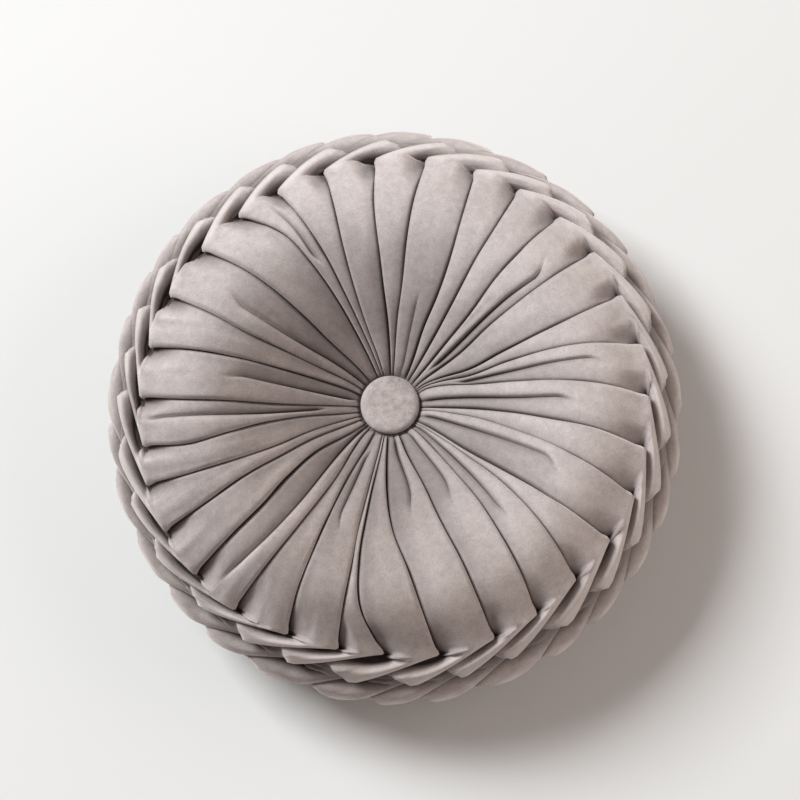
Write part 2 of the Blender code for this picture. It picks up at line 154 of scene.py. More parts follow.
def on_section(distance):
    """Radius, height and outward direction of the section at a distance along it."""
    back = distance > WIDEST
    folded = np.where(back, 2.0 * WIDEST - distance, distance)
    low = np.clip(folded - NORMAL_REACH, 0.0, WIDEST)
    high = np.clip(folded + NORMAL_REACH, 0.0, WIDEST)
    run = np.interp(high, ALONG, RADIUS) - np.interp(low, ALONG, RADIUS)
    fall = np.interp(high, ALONG, HEIGHT) - np.interp(low, ALONG, HEIGHT)
    length = np.hypot(run, fall)
    sign = np.where(back, -1.0, 1.0)
    radius, height = np.interp(folded, ALONG, RADIUS), sign * np.interp(folded, ALONG, HEIGHT)
    return radius, height, -fall / length, sign * run / length


print("at the knots the cloth points", round(float(on_section(np.array(RING))[2]), 2), "outwards")

# %% [markdown]
# ## Where the creases run
# No two pleats of a hand-gathered cushion are alike. They could be spaced by random numbers, but the eye
# knows the real ones from the photograph, so each row of the table follows one crease from the button out
# to its knot. The tucks, which start part of the way out, have a table of their own.

# %% Creases and tucks
CHART_RADII = (0.028, 0.055, 0.083, 0.110, 0.138)
PLEATS = [
    # angle of the crease at 28, 55, 83, 110 and 138 mm, its angle at the knot, and the knot's radius
    (-2.5, -2.5, -4.0, -4.6, -5.0, -3.8, 0.1735),
    (1.5, 3.3, 4.8, 5.0, 5.8, 8.0, 0.1775),
    (21.7, 21.2, 22.0, 21.5, 20.5, 19.2, 0.1760),
    (27.7, 30.2, 30.1, 29.8, 30.2, 30.0, 0.1760),
    (35.8, 39.2, 39.8, 39.2, 39.8, 41.0, 0.1760),
    (43.5, 50.5, 50.3, 50.7, 51.3, 52.0, 0.1760),
    (48.5, 62.0, 63.3, 63.8, 64.1, 63.5, 0.1750),
    (51.5, 66.0, 68.5, 70.4, 72.5, 75.5, 0.1760),
    (56.0, 72.5, 78.3, 81.3, 83.8, 87.2, 0.1750),
    (85.0, 90.0, 92.9, 95.2, 96.7, 99.0, 0.1735),
    (90.0, 96.7, 101.3, 104.2, 106.8, 110.0, 0.1740),
    (115.0, 119.6, 120.0, 120.4, 120.9, 121.2, 0.1706),
    (118.5, 122.7, 124.6, 127.1, 130.0, 133.2, 0.1672),
    (133.0, 136.8, 137.8, 140.2, 142.5, 145.2, 0.1672),
    (164.0, 159.4, 157.7, 156.4, 156.3, 156.3, 0.1672),
    (188.8, 184.6, 180.5, 175.0, 172.0, 169.6, 0.1672),
    (196.0, 194.6, 193.4, 192.0, 189.0, 182.5, 0.1632),
    (199.5, 197.0, 196.0, 194.6, 194.0, 193.2, 0.1637),
    (217.0, 213.2, 210.6, 209.0, 207.5, 205.4, 0.1658),
    (230.4, 221.0, 218.8, 218.4, 218.5, 218.7, 0.1720),
    (243.3, 241.5, 237.0, 233.0, 231.5, 230.5, 0.1740),
    (254.0, 249.8, 246.5, 244.8, 243.0, 242.3, 0.1760),
    (260.5, 255.3, 251.9, 251.3, 251.7, 253.5, 0.1760),
    (268.0, 265.5, 263.5, 261.2, 259.6, 262.0, 0.1706),
    (278.3, 273.3, 272.0, 272.0, 272.0, 273.2, 0.1725),
    (298.3, 292.0, 289.2, 287.6, 286.2, 284.8, 0.1720),
    (307.0, 300.8, 298.3, 297.0, 297.2, 297.5, 0.1727),
    (325.0, 318.8, 316.6, 315.0, 312.9, 310.4, 0.1720),
    (338.0, 335.5, 333.3, 331.0, 328.3, 322.0, 0.1713),
    (343.0, 339.8, 337.7, 336.5, 334.8, 332.5, 0.1700),
    (346.5, 343.5, 342.8, 343.1, 343.8, 344.2, 0.1720),
]
TUCKS = [
    # pleat it lies in, then radius and angle at its outer end, its middle and its inner end, and its depth
    (1, 0.076, 12.5, 0.050, 12.7, 0.030, 12.9, 0.0012),
    (4, 0.138, 48.6, 0.083, 45.8, 0.045, 44.0, 0.0030),
    (7, 0.145, 76.5, 0.110, 74.6, 0.055, 69.5, 0.0024),
    (8, 0.122, 87.0, 0.083, 85.4, 0.028, 73.3, 0.0028),
    (10, 0.120, 108.5, 0.083, 106.0, 0.030, 99.0, 0.0026),
    (12, 0.107, 134.5, 0.083, 132.0, 0.028, 124.0, 0.0024),
    (13, 0.076, 146.0, 0.055, 143.5, 0.028, 143.3, 0.0024),
    (14, 0.076, 170.5, 0.054, 168.3, 0.028, 174.0, 0.0026),
    (17, 0.093, 206.0, 0.076, 206.0, 0.045, 208.0, 0.0020),
    (19, 0.165, 225.0, 0.110, 223.3, 0.028, 237.0, 0.0026),
    (23, 0.168, 268.0, 0.110, 267.0, 0.055, 269.0, 0.0028),
    (24, 0.113, 281.5, 0.072, 281.8, 0.030, 286.0, 0.0026),
    (26, 0.131, 303.0, 0.083, 304.5, 0.028, 314.0, 0.0026),
    (28, 0.160, 329.3, 0.140, 331.0, 0.115, 332.2, 0.0022),
]
SMALL_TUCKS = [
    # pleat it lies in, radius and angle at its outer and inner end, and its depth
    (4, 0.105, 43.3, 0.069, 41.0, 0.0016),
    (10, 0.065, 111.5, 0.040, 110.5, 0.0014),
    (26, 0.122, 306.4, 0.058, 305.4, 0.0018),
    (27, 0.062, 329.0, 0.031, 328.0, 0.0010),
]
print(len(PLEATS), "pleats,", len(TUCKS), "tucks and", len(SMALL_TUCKS), "small ones")

# %% [markdown]
# The tables were read round a chart laid over the photograph. Its centre is not quite the cushion's, and
# the button is pulled a little to one side. So every reading is moved: by the chart's centre, by the
# amount that the deep middle seems lower in the picture than it lies, and by the drift of the middle. A
# smooth step, which starts and ends level, lets each of these fade away without a kink. It is used all
# through the script.

# %% From the chart to the cushion
CHART_CENTRE = (-0.0014, -0.0048)
CHART_SINK, SINK_RADII = 0.0024, (0.020, 0.125)
BUTTON_CENTRE = (-0.0034, 0.0030)
DRIFT_RADII = (0.020, 0.095)


def smooth(value, low, high):
    """Rise from 0 at low to 1 at high, level at both ends."""
    share = np.clip((value - low) / (high - low), 0.0, 1.0)
    return share * share * (3.0 - 2.0 * share)


def drift(radius):
    """How far the middle of the cushion is off its axis: most at the button, and nothing near the rim."""
    share = 1.0 - smooth(radius, *DRIFT_RADII)
    return BUTTON_CENTRE[0] * share, BUTTON_CENTRE[1] * share


def from_chart(radius, angle):
    """Radius and angle, about the middle of the cushion, of a place read round the chart's centre."""
    turn = np.radians(angle)
    aside, ahead = CHART_CENTRE[0] + radius * np.sin(turn), CHART_CENTRE[1] + radius * np.cos(turn)
    ahead = ahead + CHART_SINK * (1.0 - smooth(radius, *SINK_RADII))
    off_aside, off_ahead = drift(np.hypot(aside, ahead))
    aside, ahead = aside - off_aside, ahead - off_ahead
    along = ahead * np.cos(turn) + aside * np.sin(turn)
    across = aside * np.cos(turn) - ahead * np.sin(turn)
    return np.hypot(along, across), angle + np.degrees(np.arctan2(across, along))


print("the button is", round(1000 * math.hypot(*BUTTON_CENTRE), 1), "mm off the middle")

# %% [markdown]
# A crease of real cloth bends slowly. Straight lines between the readings would show as corners, so each
# crease is a smooth curve through them. It stays level beyond its last reading, which is the knot: asked
# for any radius out there, it gives the knot's own angle.

# %% Crease lines
BEYOND_KNOTS = 1.0          # a radius past every knot


def smooth_curve(value, places, heights):
    """A smooth curve through a few points. It stays level beyond the first and the last one."""
    slopes = np.gradient(heights, places)
    value = np.clip(value, places[0], places[-1])
    before = np.clip(np.searchsorted(places, value, side="right") - 1, 0, len(places) - 2)
    span = places[before + 1] - places[before]
    share = (value - places[before]) / span
    fade = share * share * (3.0 - 2.0 * share)
    level = heights[before] * (1.0 - fade) + heights[before + 1] * fade
    lean = slopes[before] * share * (1.0 - share) ** 2 + slopes[before + 1] * share * share * (share - 1.0)
    return level + span * lean


def crease_lines():
    """The radii and angles that each crease passes through, out to its knot, and the first one again."""
    lines = [from_chart(np.array(CHART_RADII + row[6:]), np.array(row[:6])) for row in PLEATS]
    return lines + [(lines[0][0], lines[0][1] + 360.0)]


CREASES = crease_lines()


def crease_angle(crease, radius):
    return smooth_curve(radius, *CREASES[crease])


print("the first crease runs from", round(float(crease_angle(0, 0.0)), 1), "to",
      round(float(crease_angle(0, BEYOND_KNOTS)), 1), "degrees")

# %% [markdown]
# A tuck is a short groove in the middle of a pleat, where the gathered cloth folds once more. The points
# across a pleat are drawn towards its tuck, so that a point lies in the groove all the way along.

# %% Tucks
TUCK_STARTS, TUCK_ENDS = 0.010, (0.012, 0.006)     # lengths over which a tuck comes and goes
TUCK_SHARES = (0.22, 0.78)                         # a tuck keeps this far from the creases beside it


def tuck_in(pleat, radius):
    """Share across the pleat where its tuck lies, how much of it there is at this radius, and its depth."""
    for home, r_out, a_out, r_mid, a_mid, r_in, a_in, depth in TUCKS:
        if home == pleat:
            radii, angles = from_chart(np.array((r_in, r_mid, r_out)), np.array((a_in, a_mid, a_out)))
            left, right = crease_angle(pleat, radius), crease_angle(pleat + 1, radius)
            share = (smooth_curve(radius, radii, angles) - left) / (right - left)
            starts = smooth(radius, r_in - TUCK_STARTS, r_in)
            there = starts * (1.0 - smooth(radius, r_out - TUCK_ENDS[0], r_out + TUCK_ENDS[1]))
            return np.clip(share, *TUCK_SHARES), there, depth
    return 0.5 + 0.0 * radius, 0.0 * radius, 0.0


print("the deepest tuck:", round(1000 * max(row[-1] for row in TUCKS), 1), "mm")

# %% [markdown]
# ## The shape across one pleat
# A pleat is a soft roll. On one side it turns down sharply over the crease and hangs a little over its
# neighbour. On the other side it falls away gently and slips under the next roll. A bump texture would
# darken such a crease but never hide anything behind the roll, so the roll is real geometry. The same
# shape, made steeper, serves for the folds of the edge.

# %% Shape across a pleat
CREST_AT = 0.30
ROLL_POWER, FALL_POWER, TAIL_POWER = 2.6, 1.5, 2.4


def pleat_shape(across, roll_share, tail_share, fall_share):
    """Height across a pleat, 0 in the creases and 1 on its crest."""
    roll = 1.0 - (1.0 - np.clip(across / roll_share, 0.0, 1.0)) ** ROLL_POWER
    fall = 1.0 - fall_share * np.clip((across - CREST_AT) / (1.0 - CREST_AT), 0.0, 1.0) ** FALL_POWER
    tail = 1.0 - np.clip(1.0 - (1.0 - across) / tail_share, 0.0, 1.0) ** TAIL_POWER
    return roll * fall * tail


print("halfway across, a pleat keeps", round(float(pleat_shape(0.5, 0.1, 0.1, 0.34)), 2), "of its height")

# %% [markdown]
# On a face the roll's width is a length, because the velvet is as thick in a narrow pleat as in a wide
# one, and so it is a larger share of a narrow pleat. A wider pleat holds more filling and stands higher.
# A tuck presses a sharp groove into it, with a soft sag beside the groove.

# %% Pleats of the faces
ROLL, TAIL = 0.0017, 0.0024                        # widths of a roll's turned edge, and of its hidden side
ROLL_SHARES, TAIL_SHARES, LEAST_WIDTH = (0.04, 0.30), (0.05, 0.30), 0.001
FACE_FALL, KNOT_FALL = 0.34, 0.39                  # share of its height that a pleat loses, and at the knots
KNOT_REACH = 0.030
LEAST_SWELL, SWELL_BY_WIDTH = 0.0026, 0.16
SWELL_RADII = (0.0200, 0.0250)
SUNK = 0.72                                        # share of its height that lies below the mean surface
GROOVE_WIDTH, GROOVE_POWER = 0.0007, 1.2
SAG_SHARE, SAG_WIDTH = 0.35, 0.16


def face_height(across, radius, width, tuck, to_ring):
    """How far the pleats of a face stand off its mean surface."""
    swell = (LEAST_SWELL + SWELL_BY_WIDTH * width) * smooth(radius, *SWELL_RADII)
    roll_share = np.clip(ROLL / np.maximum(width, LEAST_WIDTH), *ROLL_SHARES)
    tail_share = np.clip(TAIL / np.maximum(width, LEAST_WIDTH), *TAIL_SHARES)
    groove = np.exp(-(np.abs(across - 0.5) * width / GROOVE_WIDTH) ** GROOVE_POWER)
    groove = groove + SAG_SHARE * np.exp(-((across - 0.5) / SAG_WIDTH) ** 2)
    fall_share = FACE_FALL + KNOT_FALL * smooth(to_ring, -KNOT_REACH, 0.0)
    return swell * (pleat_shape(across, roll_share, tail_share, fall_share) - SUNK) - tuck * groove


print("a pleat 30 mm wide swells by", round(1000 * (LEAST_SWELL + SWELL_BY_WIDTH * 0.030), 1), "mm")

# %% [markdown]
# ## The braided edge
# From each knot a fold winds on round the edge. It swells, ends in a corner that is tied down at the next
# row of knots, and comes out again from under its own end. It could be cut as separate leaves of cloth
# laid over one another, but a real one is the same cloth all the way, and one surface has no seams to
# hide. The forms are measured by the share of the way from the ring of knots on one face to the ring on
# the other.

# %% Folds of the edge
ROWS = (0.0, 0.23, 0.50, 0.77, 1.0)                # where the rows of knots lie
END_RUN = 0.11                                     # the end of a fold slants by this share across it
ROW_FALL, ROW_START, ROW_FULL = 0.58, 0.05, 0.85   # a fold starts lower by this share, and where it fills
FOLD_HEIGHT, FOLD_RISE = 0.0108, 0.0036
EDGE_FALL, KNOT_SHARE = 0.40, 0.05                 # the knots make the folds fall more over this share
EDGE_ROLL, EDGE_TAIL = 0.12, 0.20


def edge_height(across, share):
    """How far the folds of the edge stand off its mean surface. Each row swells, ends and tucks under."""
    plump = 1.0
    for start, end in zip(ROWS[:-1], ROWS[1:]):
        back = END_RUN * across
        first = start - back if start > 0.0 else 0.0
        last = end - back if end < 1.0 else 1.0
        since = (share - first) / (last - first)
        inside = smooth(since, 0.0, ROW_START) * (1.0 - smooth(since, 1.0, 1.0 + ROW_START))
        low = ROW_FALL if start > 0.0 else 0.0
        plump = plump - low * inside * (1.0 - smooth(since, ROW_START, ROW_FULL))
    fall_share = EDGE_FALL + KNOT_FALL * (1.0 - smooth(share, 0.0, KNOT_SHARE))
    crest = FOLD_HEIGHT * pleat_shape(across, EDGE_ROLL, EDGE_TAIL, fall_share) * plump
    return crest - (FOLD_HEIGHT - FOLD_RISE)


print("rows of folds round the edge:", len(ROWS) - 1)

# %% [markdown]
# Beside every knot there is a small, deep hollow, where the fold leaves the cloth of the next pleat. It
# opens at the knot, is widest a little way on, and closes again where the fold lies down. The wall of the
# fold above it is steep, and the far side of the hollow is a slope.

# %% Hollows beside the knots
HOLLOW_DEPTH = 0.0112
HOLLOW_BEFORE, HOLLOW_FULL, HOLLOW_CLOSES = 0.035, 0.030, (0.060, 0.150)
HOLLOW_WIDEST, HOLLOW_SPREAD = 0.50, 0.40
HOLLOW_SLOPE, HOLLOW_NARROW = 0.42, 0.78
PINCH_BEFORE, PINCH_SLOPE = 0.010, 0.16            # a hollow is pinched into a slit as it nears its knot
LAST_HOLLOW = 0.7                                  # the hollows at the last row are this much as deep


def hollow_depth(across, share, size):
    """Depth of the hollows beside the knots. size is 1 for a large, open one."""
    opening, narrow = 0.0, 0.0
    for start in ROWS[:-1]:
        begins = smooth(share, start - HOLLOW_BEFORE, start + HOLLOW_FULL)
        closes = smooth(share, start + HOLLOW_CLOSES[0], start + HOLLOW_CLOSES[1])
        opening = opening + begins * (1.0 - closes)
        narrow = narrow + (1.0 - smooth(share, start - PINCH_BEFORE, start + HOLLOW_FULL)) * begins
    after = smooth(share, 1.0 - HOLLOW_BEFORE, 1.0) * (1.0 - smooth(share, 1.0, 1.0 + HOLLOW_BEFORE))
    wall = (1.0 - np.clip(across / EDGE_ROLL, 0.0, 1.0)) ** ROLL_POWER
    closing = np.clip(2.0 * narrow, 0.0, 1.0)
    low = HOLLOW_WIDEST - HOLLOW_SPREAD * size
    low = low + (HOLLOW_NARROW - low) * closing
    slope = smooth(across, low, low + HOLLOW_SLOPE - (HOLLOW_SLOPE - PINCH_SLOPE) * closing)
    return HOLLOW_DEPTH * size * np.maximum(wall, slope) * np.maximum(opening, LAST_HOLLOW * after)


print("the hollows are up to", round(1000 * HOLLOW_DEPTH, 1), "mm deep")

# %% [markdown]
# Where a pleat is drawn into its knot, the cloth is stretched into a low ridge that runs on into the
# fold, and it is pressed into a dimple beside it. Each is a smooth hill or pit, placed by its share
# across the pleat and its distance past the knots.

# %% Ridge and dimple at a knot
RIDGE_AT, RIDGE_SIZE, RIDGE_RISE = (0.52, 0.003), (0.16, 0.012), 0.0014
DIMPLE_AT, DIMPLE_SIZE = (0.84, -0.010), (0.13, 0.009)


def hill(across, past, place, size):
    """A round hill, 1 at its place and fading with distance from it."""
    return np.exp(-((across - place[0]) / size[0]) ** 2 - ((past - place[1]) / size[1]) ** 2)


def sculpted(across, past, dimple):
    """Rise and fall of the cloth where a pleat is drawn into its knot."""
    ridge = RIDGE_RISE * hill(across, past, RIDGE_AT, RIDGE_SIZE)
    return ridge - dimple * hill(across, past, DIMPLE_AT, DIMPLE_SIZE)


print("the ridges rise by", round(1000 * RIDGE_RISE, 1), "mm")

# %% [markdown]
# ## Wrinkles
# Velvet that is pulled to a knot shows fine drag lines, and a filled pleat is never quite even. Blender's
# own noise textures could push the points about, but they don't follow the pleats. Here the noise comes
# from a table of random numbers with a fixed seed, so that every run is the same, and it is stretched
# along each pleat.

# %% Soft noise
NOISE_SIDE = 64


def soft_noise(x, y, seed):
    """Noise from -1 to 1 that changes smoothly over one unit of x and of y."""
    table = np.random.default_rng(seed).uniform(-1.0, 1.0, (NOISE_SIDE, NOISE_SIDE))
    column, row = np.floor(x).astype(int), np.floor(y).astype(int)
    u, v = smooth(x - column, 0.0, 1.0), smooth(y - row, 0.0, 1.0)
    left, right = column % NOISE_SIDE, (column + 1) % NOISE_SIDE
    low, high = row % NOISE_SIDE, (row + 1) % NOISE_SIDE
    bottom = table[low, left] * (1 - u) + table[low, right] * u
    top = table[high, left] * (1 - u) + table[high, right] * u
    return bottom * (1 - v) + top * v


print("noise at one place:", round(float(soft_noise(np.array(0.5), np.array(0.5), 3)), 3))

# %% [markdown]
# Three sizes of it are laid over one another: long drag lines, lumps nearly as wide as a pleat, and fine
# lines that are strongest where the cloth is pulled to a knot.

# %% Wrinkles of a pleat
DRAG_HEIGHT, DRAG_SIZE, DRAG_SEED = 0.00028, (0.0055, 0.060), 3        # lines that run along the pleat
UNEVEN_HEIGHT, UNEVEN_SIZE, UNEVEN_SEED = 0.00045, (1 / 1.6, 0.028), 5  # lumps, as wide as most of a pleat
FINE_HEIGHT, FINE_SIZE, FINE_SEED = 0.00008, (0.0030, 0.018), 7
KNOT_FINE, KNOT_PULL = 0.00034, 0.022              # the fine lines are higher, this near to the knots
APART = (7.3, 11.7, 5.1, 3.9)                      # these keep one pleat's noise apart from the next one's


def wrinkle(pleat, across, distance, width):
    """Small ups and downs of the cloth, in metres."""
    arc = pleat * APART[0] + across * width
    drag = soft_noise(arc / DRAG_SIZE[0] + pleat * APART[1], distance / DRAG_SIZE[1], DRAG_SEED)
    uneven = soft_noise(across / UNEVEN_SIZE[0] + pleat * APART[2], distance / UNEVEN_SIZE[1], UNEVEN_SEED)
    fine = soft_noise(arc / FINE_SIZE[0] + pleat * APART[3], distance / FINE_SIZE[1], FINE_SEED)
    from_knots = np.minimum(np.abs(distance - RING), np.abs(distance - RING - EDGE_LENGTH))
    pulled = np.exp(-(from_knots / KNOT_PULL) ** 2)
    return DRAG_HEIGHT * drag + UNEVEN_HEIGHT * uneven + (FINE_HEIGHT + KNOT_FINE * pulled) * fine


print("fine lines at the knots:", round(1000 * (FINE_HEIGHT + KNOT_FINE), 2), "mm high")

# %% [markdown]
# ## Uneven by hand
# Sewn by hand, no pleat is as plump as the next, no two hollows open alike, and the folds don't all slant
# the same way. One seed gives every pleat its own plumpness, dimple, hollow and slant. The hollows are
# also larger on the side of the rim where the photograph shows them open.

# %% Differences between the pleats
PLUMPNESS_SPREAD, HOLLOW_CHANGE, SLANT_CHANGE = 0.14, 0.28, 4.0
DIMPLE_DEPTHS = (0.0008, 0.0042)
HOLLOW_SIZE, HOLLOW_BIAS, HOLLOW_ANGLE = 0.74, 0.28, 80.0
SLANT = 70.0                                       # degrees that a fold winds from one face to the other
SEED = 31


def varied(seed):
    """Plumpness and dimple of each pleat, and the size of the hollow and the slant at each crease."""
    random = np.random.default_rng(seed)
    plumpness = 1.0 + PLUMPNESS_SPREAD * random.uniform(-1.0, 1.0, len(PLEATS))
    dimples = random.uniform(*DIMPLE_DEPTHS, len(PLEATS))
    sides = np.radians(np.array([row[5] for row in PLEATS]) - HOLLOW_ANGLE)
    hollows = HOLLOW_SIZE - HOLLOW_BIAS * np.cos(sides)
    hollows = hollows * (1.0 + HOLLOW_CHANGE * random.uniform(-1.0, 1.0, len(PLEATS)))
    slants = SLANT + SLANT_CHANGE * random.uniform(-1.0, 1.0, len(PLEATS))
    return plumpness, dimples, hollows, slants


PLUMPNESS, DIMPLES, HOLLOWS, SLANTS = varied(SEED)
print("hollows from", round(float(HOLLOWS.min()), 2), "to", round(float(HOLLOWS.max()), 2), "of full size")

# %% [markdown]
# ## The cover
# The cover is one closed mesh, made of rings of points from the middle of the top to the middle of the
# underside. A plain grid would cut across the creases and turn them into steps. So the columns of points
# follow the creases, and stand closest beside them. First come the angles of the two creases beside a
# pleat. On the back they mirror those of the top about the knot.

# %% The creases beside a pleat
def side_angles(pleat, past, radius):
    """Angles of the creases on both sides of a pleat at each of its points."""
    on_back = past > EDGE_LENGTH
    reach = np.where((past < 0.0) | on_back, radius, BEYOND_KNOTS)
    angles = []
    for crease in (pleat, pleat + 1):
        angle, knot = crease_angle(crease, reach), crease_angle(crease, BEYOND_KNOTS)
        angles.append(np.where(on_back, 2.0 * knot - angle, angle))
    return angles


print("the widest pleat at the knots is",
      round(max(float(crease_angle(pleat + 1, BEYOND_KNOTS) - crease_angle(pleat, BEYOND_KNOTS))
                for pleat in range(len(PLEATS))), 1), "degrees")

# %% [markdown]
# Round the edge the columns wind sideways, which gives the folds their slant. The folds leave the knots
# well slanted, and run a little more straight across the rim towards its widest part. Near one side of
# the rim they leave the knots more steeply.

# %% Winding round the edge
SLANT_POWER = 0.76
TOP_POWER, TOP_ANGLE = 0.38, -8.0                  # how much steeper, and on which side of the rim


def winding(pleat, across, share):
    """How far round the edge, in degrees, the folds have wound at a share of the way between the knots."""
    left_knot, right_knot = crease_angle(pleat, BEYOND_KNOTS), crease_angle(pleat + 1, BEYOND_KNOTS)
    knot_angle = np.radians(left_knot + (right_knot - left_knot) * across - TOP_ANGLE)
    power = SLANT_POWER + TOP_POWER * np.clip(np.cos(knot_angle), 0.0, 1.0)
    slant = SLANTS[pleat] + (SLANTS[(pleat + 1) % len(PLEATS)] - SLANTS[pleat]) * across
    half = 1.0 - np.abs(2.0 * share - 1.0)
    return np.where(share < 0.5, half ** power, 2.0 - half ** power) * slant / 2.0


print("a fold winds by", round(float(SLANTS.min()), 1), "to", round(float(SLANTS.max()), 1), "degrees")

# %% [markdown]
# The turned edge of each roll is pushed sideways, out over its neighbour. That makes a true overhang,
# with a dark line under it, which no change of height alone can give. On a face the overhang is small,
# and smaller still on a narrow pleat. On the edge the folds lie over one another much further.

# %% Overhang of a roll
LIP, LIP_TURN = 0.0015, 0.0010                     # how far a roll hangs over on a face, and how soon
EDGE_LIP, EDGE_LIP_TURN = 0.0036, 0.055            # the same on the edge, the second as a share of the width
LIP_FADE = 3.2
LIP_WIDTH, FULL_LIP_WIDTH, LEAST_LIP = 0.003, 0.020, 0.15


def overhang(across, width, blend):
    """How far a point lies over the neighbouring pleat, as a share of the width. blend is 1 on the edge."""
    turned = LIP_TURN / np.maximum(width, LIP_WIDTH) * (1.0 - blend) + EDGE_LIP_TURN * blend
    face_lip = LIP * (1.0 - blend) * np.clip(width / FULL_LIP_WIDTH, LEAST_LIP, 1.0)
    lip = (face_lip + EDGE_LIP * blend) * smooth(across, 0.0, turned)
    return lip / np.maximum(width, LIP_WIDTH) * (1.0 - smooth(across, turned, LIP_FADE * turned))


print("folds of the edge hang over by", round(1000 * EDGE_LIP, 1), "mm")

# %% [markdown]
# The small tucks are too short to draw the points towards them. Each is pressed straight into the height
# of the pleat, along a line between its two ends.

# %% Small tucks
SMALL_STARTS, SMALL_ENDS = (0.008, 0.004), 0.012
SMALL_WIDTH, SMALL_POWER = 0.0011, 1.3


def small_tucks(pleat, radius, angle):
    """Depth of the small tucks of a pleat at each point, from the point's radius and angle."""
    depth = 0.0 * radius
    for home, r_out, a_out, r_in, a_in, most in SMALL_TUCKS:
        if home == pleat:
            radii, angles = from_chart(np.array((r_in, r_out)), np.array((a_in, a_out)))
            off = np.radians(np.interp(radius, radii, angles) - angle) * radius
            starts = smooth(radius, r_in - SMALL_STARTS[0], r_in + SMALL_STARTS[1])
            there = starts * (1.0 - smooth(radius, r_out - SMALL_ENDS, r_out))
            depth = depth + most * there * np.exp(-(np.abs(off) / SMALL_WIDTH) ** SMALL_POWER)
    return depth


print("pleats with a small tuck:", [row[0] for row in SMALL_TUCKS])

# %% [markdown]
# Shade and highlight are painted into the colour of the velvet, following its shape. The creases, the
# hollows beside the knots and the dish round the button get painted shade, and the crests of the folds of
# the edge a painted highlight. Each point therefore also gets one number, its painted light, which the
# material reads later. A bake of shadows could do the same, but this one needs no image and no second
# pass.

# %% Painted shade and highlight
# EDGE_SHADE also sets how high the painted highlight comes on the crests of the folds.
EDGE_SHADE, HOLLOW_SHADE = 1.35, 1.35              # painted shade between the folds, and in the hollows
DISH_SHADE, DISH_RADII = 0.23, (0.050, 0.145)      # painted shade, darker towards the button


def painted_shade_and_highlight(on_top, on_edge, hollow, blend, width, radius):
    """Painted light at each point: low values give painted shade, and high ones a painted highlight."""
    painted_light = (1.0 - blend) * on_top / (LEAST_SWELL + SWELL_BY_WIDTH * width)
    painted_light = painted_light + EDGE_SHADE * blend * on_edge / FOLD_HEIGHT
    painted_light = painted_light - HOLLOW_SHADE * (hollow / HOLLOW_DEPTH) ** 2
    return painted_light - DISH_SHADE * (1.0 - smooth(radius, *DISH_RADII))


print("on the crest of a fold the rise is", round(EDGE_SHADE * FOLD_RISE / FOLD_HEIGHT, 2))

# %% [markdown]
# Now all of it comes together for one pleat. First each point gets its place across the pleat: drawn
# towards the tuck, if there is one, and pushed out over the neighbour by the overhang. From here on,
# blend says how far the pleat has become a fold of the edge: 0 on the faces and 1 on the edge.

# %% Across one pleat
EDGE_BEGINS = (-0.010, 0.002)                      # between these distances past the knots it becomes a fold
THINNEST = 0.0005


def across_pleat(pleat, across, past, radius):
    """Angle of each point, and there the width of the pleat, its blend and the depth of its tuck."""
    left, right = side_angles(pleat, past, radius)
    tuck_share, there, depth = tuck_in(pleat, radius)
    there = np.where(past < 0.0, there, 0.0)
    middle = 0.5 + (tuck_share - 0.5) * there
    place = np.where(across < 0.5, across * 2.0 * middle, middle + (2.0 * across - 1.0) * (1.0 - middle))
    width = np.maximum(radius * np.radians(right - left), THINNEST)
    blend = smooth(past, *EDGE_BEGINS)
    blend = blend * (1.0 - smooth(past - EDGE_LENGTH, -EDGE_BEGINS[1], -EDGE_BEGINS[0]))
    place = place - overhang(across, width, blend)
    return left + (right - left) * place, width, blend, depth * there


print("a pleat becomes a fold over", round(1000 * (EDGE_BEGINS[1] - EDGE_BEGINS[0]), 1), "mm")

# %% [markdown]
# Then the heights are added up: the pleat or the fold, less the hollow beside it, with the ridge, the
# dimple, the small tucks and the wrinkles. Near the button the cloth is stretched, so the wrinkles end
# there.

# %% How far one pleat stands off
LOOSE_RADII = (0.024, 0.045)


def stand_off(pleat, across, distance, radius, angle, width, blend, tuck):
    """How far each point stands off the section, and the level of its painted shade and highlight."""
    past, past_back = distance - RING, distance - RING - EDGE_LENGTH
    to_ring = -np.minimum(np.abs(past), np.abs(past_back))
    on_top = face_height(across, radius, width, tuck, to_ring) * PLUMPNESS[pleat]
    on_edge = edge_height(across, np.clip(past / EDGE_LENGTH, 0.0, 1.0))
    size = np.where(across < EDGE_ROLL, HOLLOWS[pleat], HOLLOWS[(pleat + 1) % len(PLEATS)])
    hollow = hollow_depth(across, past / EDGE_LENGTH, size)
    stands = (1.0 - blend) * on_top + blend * on_edge - hollow
    stands = stands + sculpted(across, past, DIMPLES[pleat]) + sculpted(across, -past_back, DIMPLES[pleat])
    stands = stands - np.where(past < 0.0, small_tucks(pleat, radius, angle), 0.0)
    stands = stands + wrinkle(pleat, across, distance, width) * smooth(radius, *LOOSE_RADII)
    return stands, painted_shade_and_highlight(on_top, on_edge, hollow, blend, width, radius)


print("wrinkles start", round(1000 * LOOSE_RADII[0], 1), "mm from the middle")

# %% [markdown]
# Last, each point is set in the air. The knots don't all lie at one radius, so the section is slid in or
# out a little near them. Close to the knots the cloth is held, and can't be pushed inwards. The crests on
# the underside are cut off level, because the cushion's weight presses them flat.

# %% Points of one pleat
OVAL = 1.012                # how much longer the cushion is from top to bottom of the picture than across it
KNOT_BLEND = 0.030          # a knot's own radius is felt this far along the cloth
RING_HOLD = 0.016


